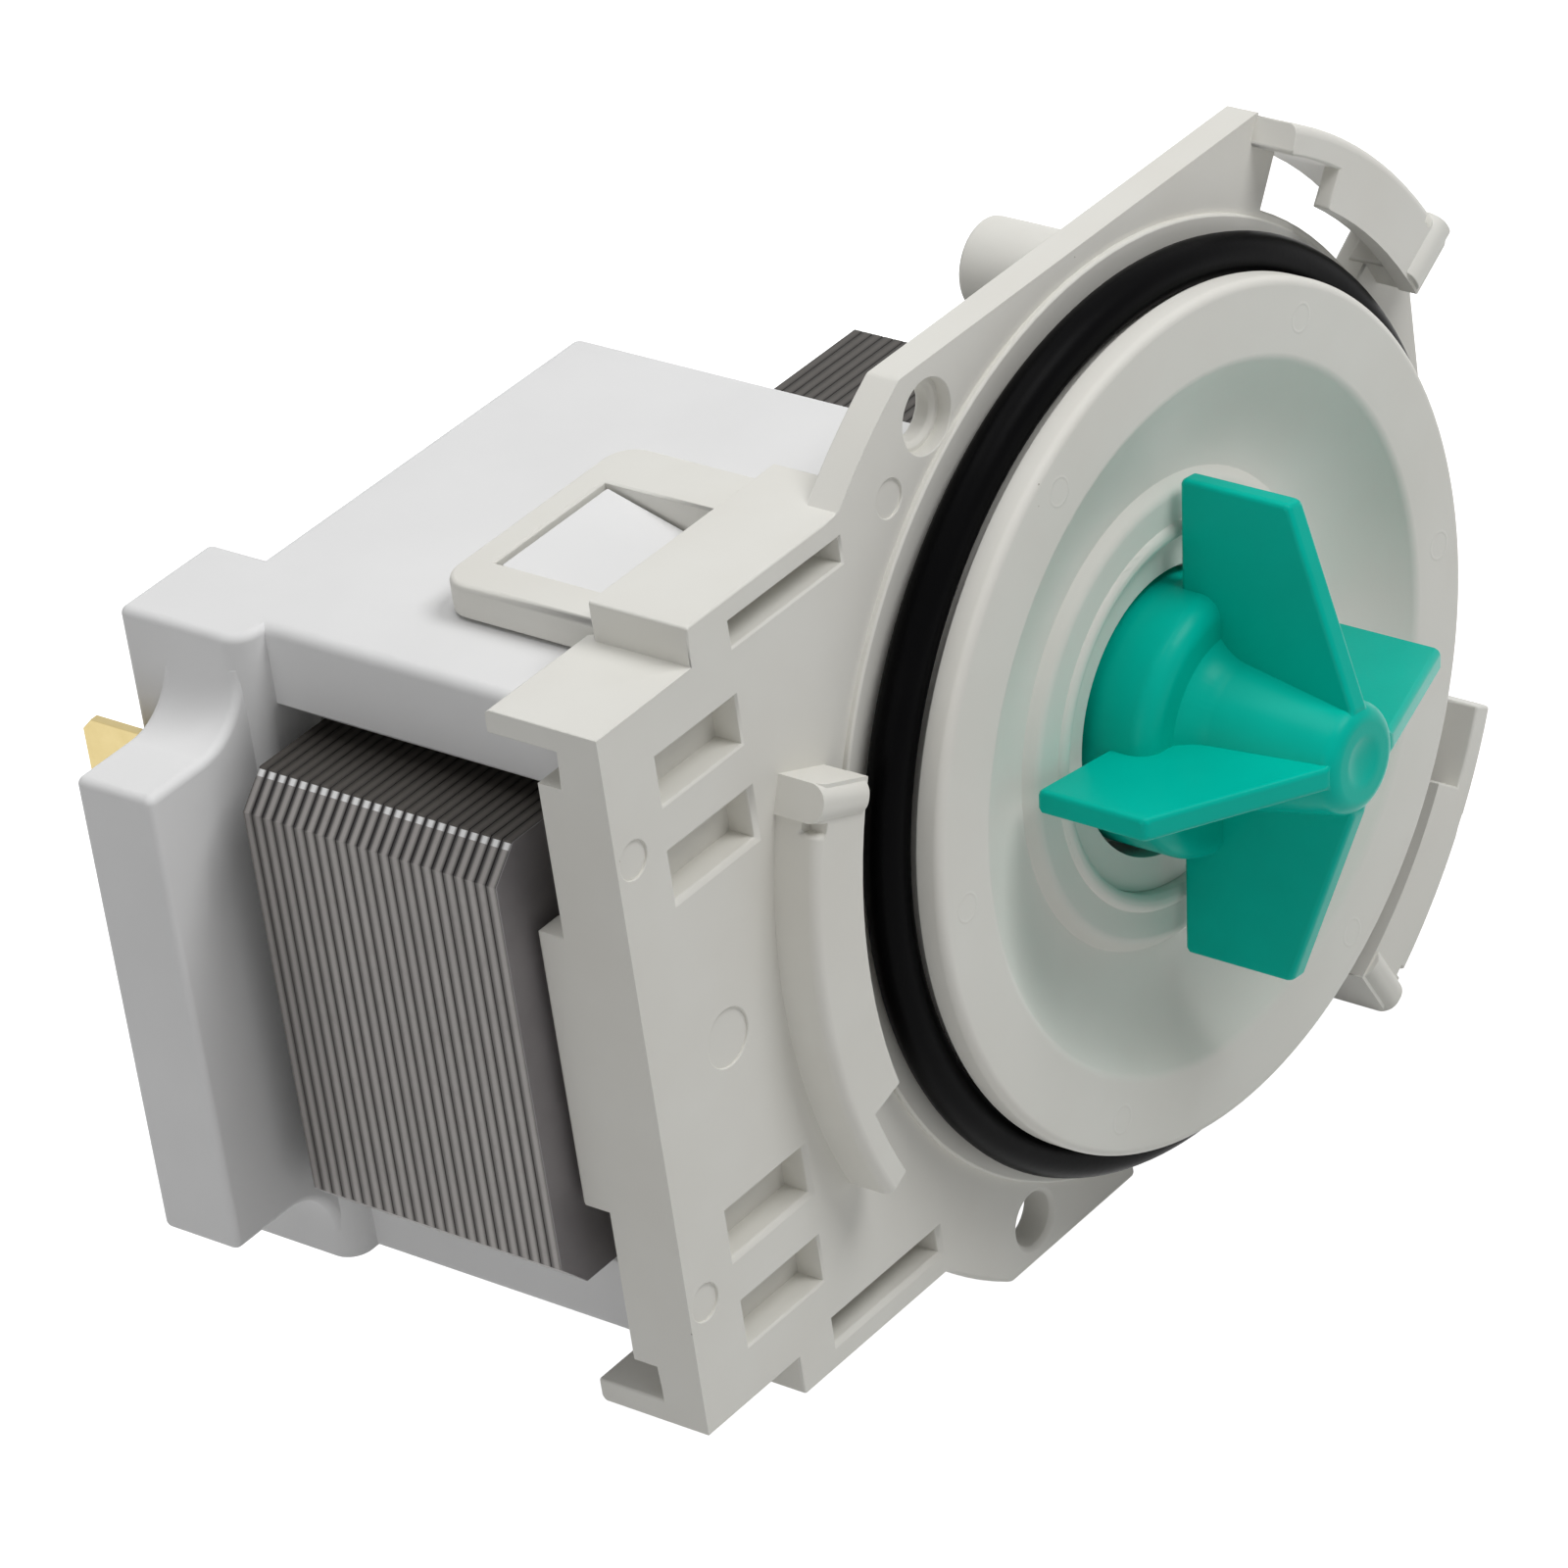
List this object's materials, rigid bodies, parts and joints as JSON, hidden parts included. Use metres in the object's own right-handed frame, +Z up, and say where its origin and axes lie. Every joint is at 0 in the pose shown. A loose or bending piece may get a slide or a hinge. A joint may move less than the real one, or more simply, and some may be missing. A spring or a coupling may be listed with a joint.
{
  "type": "drain pump",
  "caption": "Dishwasher drain pump with a sealed spigot and bayonet hooks, flat-bladed impeller, wet rotor in a moulded can, and a laminated motor core held in a clip-on coil casing.",
  "frame": {"origin": "where the pump axis meets the front face of the mounting plate", "axes": "-Y along the pump axis towards the impeller's nose, +Z up, +X to the right seen from the impeller"},
  "size_m": [0.1086, 0.0716, 0.0793],
  "materials": {
    "flange_plastic": "satin, warm white",
    "casing_plastic": "satin, cool white",
    "impeller_plastic": "semi-gloss, blue-green",
    "dog_plastic": "matt dark grey",
    "bobbin_plastic": "satin, off-white",
    "washer_plastic": "matt, cream",
    "black_rubber": "satin black",
    "core_steel": "punched sheet edges, varnished",
    "shaft_steel": "ground",
    "magnet_ferrite": "dark sintered",
    "bearing_ceramic": "smooth ceramic",
    "copper_wire": "enamelled copper, amber",
    "terminal_brass": "pale brass"
  },
  "bodies": {
    "housing": {"mounting_flange": "flange_plastic", "spigot_seal": "black_rubber", "front_bearing_holder": "flange_plastic", "holder_seal_ring": "black_rubber", "front_bearing": "bearing_ceramic", "front_cushion": "black_rubber", "rear_bearing": "bearing_ceramic", "rear_cushion": "black_rubber", "core_laminations": "core_steel", "upper_bobbin": "bobbin_plastic", "lower_bobbin": "bobbin_plastic", "upper_winding": "copper_wire", "lower_winding": "copper_wire", "coil_casing": "casing_plastic", "upper_terminal": "terminal_brass", "lower_terminal": "terminal_brass"},
    "rotor": {"rotor_shaft": "shaft_steel", "rotor_magnet": "magnet_ferrite", "magnet_carrier": "dog_plastic", "drive_dog": "dog_plastic", "coupling_damper": "black_rubber", "shaft_seal": "black_rubber", "front_washer": "washer_plastic", "rear_washer": "washer_plastic"},
    "impeller_unit": {"impeller": "impeller_plastic", "coupling_cover": "impeller_plastic"}
  },
  "joints": [
    {"name": "rotor_spin", "type": "hinge", "parent": "housing", "child": "rotor", "pos_m": [0, 0, 0], "axis": [0, 1, 0], "continuous": true},
    {"name": "impeller_play", "type": "hinge", "parent": "rotor", "child": "impeller_unit", "pos_m": [0, 0, 0], "axis": [0, 1, 0], "range_deg": [-120, 120]}
  ]
}
